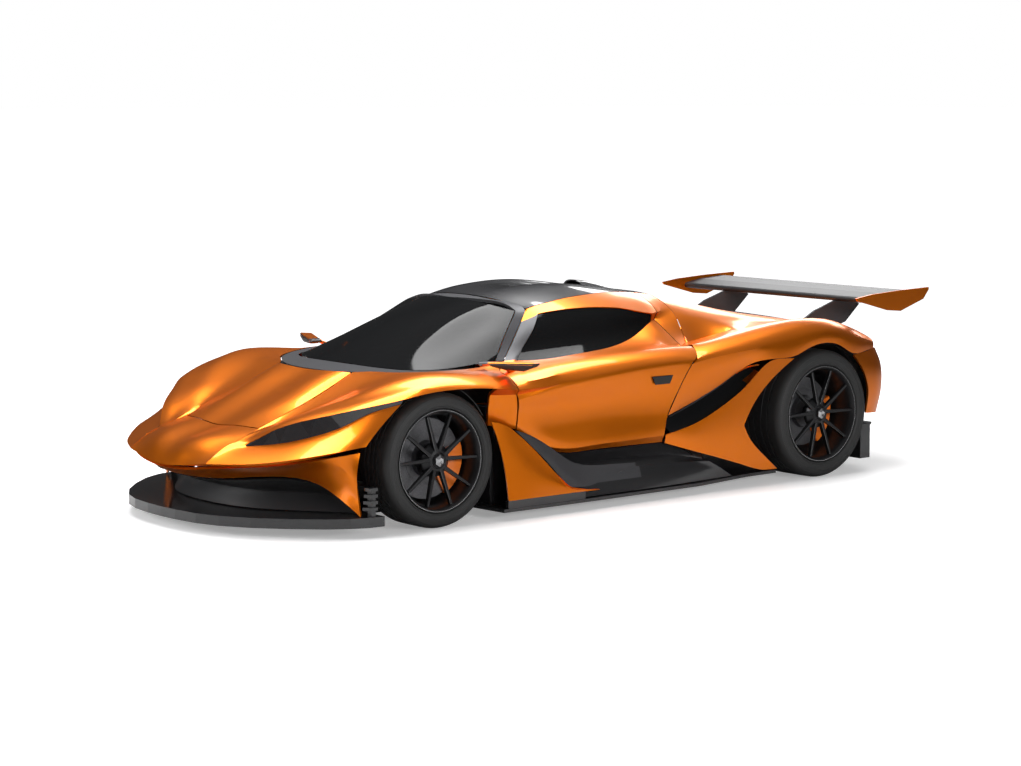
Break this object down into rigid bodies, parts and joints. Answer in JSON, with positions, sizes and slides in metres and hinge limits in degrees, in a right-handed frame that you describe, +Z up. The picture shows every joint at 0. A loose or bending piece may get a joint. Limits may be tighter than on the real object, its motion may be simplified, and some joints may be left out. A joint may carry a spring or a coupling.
{
  "type": "mid-engined supercar with upward-opening doors",
  "caption": "Low mid-engined two-seat supercar: upward-opening doors, hinged bonnet and engine cover, steered and rolling wheels, tall rear wing, front splitter.",
  "frame": {"origin": "on the floor under the middle of the car", "axes": "+X towards the nose, +Y to the car's left, +Z up"},
  "size_m": [4.8, 2.0918, 1.127],
  "materials": {
    "alloy": "cast and machined alloy",
    "carbon": "lacquered carbon fibre",
    "glass": "dark tinted glass",
    "grey_satin": "satin dark grey",
    "lamp": "clear lamp cover over dark housing",
    "paint": "metallic orange paint under clear coat",
    "rear_lamp": "red lamp lens",
    "rim": "satin black alloy with machined edges",
    "satin_black": "satin black",
    "titanium": "heat-tinted titanium",
    "trim": "black leather and suede",
    "tyre": "rubber"
  },
  "bodies": {
    "root": {"chassis_tub": "carbon", "windscreen_frame": "grey_satin", "front_splitter": "carbon", "front_bumper": "paint", "intake_liner": "satin_black", "nose_panel": "paint", "front_wings": "paint", "headlights": "lamp", "cowl": "grey_satin", "windscreen": "glass", "roof_panel": "carbon", "rear_clamshell": "paint", "side_pods": "paint", "rear_bumper": "paint", "tail_panel": "satin_black", "tail_lights": "rear_lamp", "diffuser": "carbon", "exhaust": "titanium", "skirts": "carbon", "skirt_fins": "paint", "wheel_arch_liners": "satin_black", "wing_plane": "carbon", "wing_endplates": "paint", "wing_pylons": "grey_satin", "engine": "alloy", "seats": "trim", "dashboard": "trim", "suspension": "alloy"},
    "bonnet": {"bonnet": "paint"},
    "engine_cover": {"engine_cover": "carbon"},
    "left_door": {"left_door": "paint", "left_door_glass": "glass"},
    "right_door": {"right_door": "paint", "right_door_glass": "glass"},
    "steering_wheel": {"steering_wheel": "trim"},
    "left_front_upright": {"left_front_upright": "alloy"},
    "right_front_upright": {"right_front_upright": "alloy"},
    "front_left_wheel": {"front_left_wheel": "rim", "front_left_tyre": "tyre"},
    "front_right_wheel": {"front_right_wheel": "rim", "front_right_tyre": "tyre"},
    "rear_left_wheel": {"rear_left_wheel": "rim", "rear_left_tyre": "tyre"},
    "rear_right_wheel": {"rear_right_wheel": "rim", "rear_right_tyre": "tyre"}
  },
  "joints": [
    {"name": "left_door_hinge", "type": "hinge", "parent": "root", "child": "left_door", "pos_m": [-0.4, 0.284, 1.043], "axis": [0.9767, 0.2144, -0.0134], "range_deg": [0, 60]},
    {"name": "right_door_hinge", "type": "hinge", "parent": "root", "child": "right_door", "pos_m": [-0.4, -0.284, 1.043], "axis": [-0.9767, 0.2144, 0.0134], "range_deg": [0, 60]},
    {"name": "bonnet_hinge", "type": "hinge", "parent": "root", "child": "bonnet", "pos_m": [1.405, 0, 0.713], "axis": [0, -1, 0], "range_deg": [0, 55]},
    {"name": "engine_cover_hinge", "type": "hinge", "parent": "root", "child": "engine_cover", "pos_m": [-0.64, 0, 1.014], "axis": [0, 1, 0], "range_deg": [0, 45]},
    {"name": "left_steer", "type": "hinge", "parent": "root", "child": "left_front_upright", "pos_m": [1.35, 0.7475, 0.343], "axis": [0, 0, 1], "range_deg": [-27, 27]},
    {"name": "right_steer", "type": "hinge", "parent": "root", "child": "right_front_upright", "pos_m": [1.35, -0.7475, 0.343], "axis": [0, 0, 1], "range_deg": [-27, 27]},
    {"name": "steering_wheel_turn", "type": "hinge", "parent": "root", "child": "steering_wheel", "pos_m": [0.54, 0.36, 0.65], "axis": [-0.927, 0, 0.375], "range_deg": [-405, 405]},
    {"name": "front_left_roll", "type": "hinge", "parent": "left_front_upright", "child": "front_left_wheel", "pos_m": [1.35, 0.8275, 0.343], "axis": [0, 1, 0], "continuous": true},
    {"name": "front_right_roll", "type": "hinge", "parent": "right_front_upright", "child": "front_right_wheel", "pos_m": [1.35, -0.8275, 0.343], "axis": [0, 1, 0], "continuous": true},
    {"name": "rear_left_roll", "type": "hinge", "parent": "root", "child": "rear_left_wheel", "pos_m": [-1.35, 0.8235, 0.364], "axis": [0, 1, 0], "continuous": true},
    {"name": "rear_right_roll", "type": "hinge", "parent": "root", "child": "rear_right_wheel", "pos_m": [-1.35, -0.8235, 0.364], "axis": [0, 1, 0], "continuous": true}
  ],
  "couplings": [
    {"joint": "right_steer", "follows": "left_steer", "ratio": 1},
    {"joint": "steering_wheel_turn", "follows": "left_steer", "ratio": 15}
  ]
}
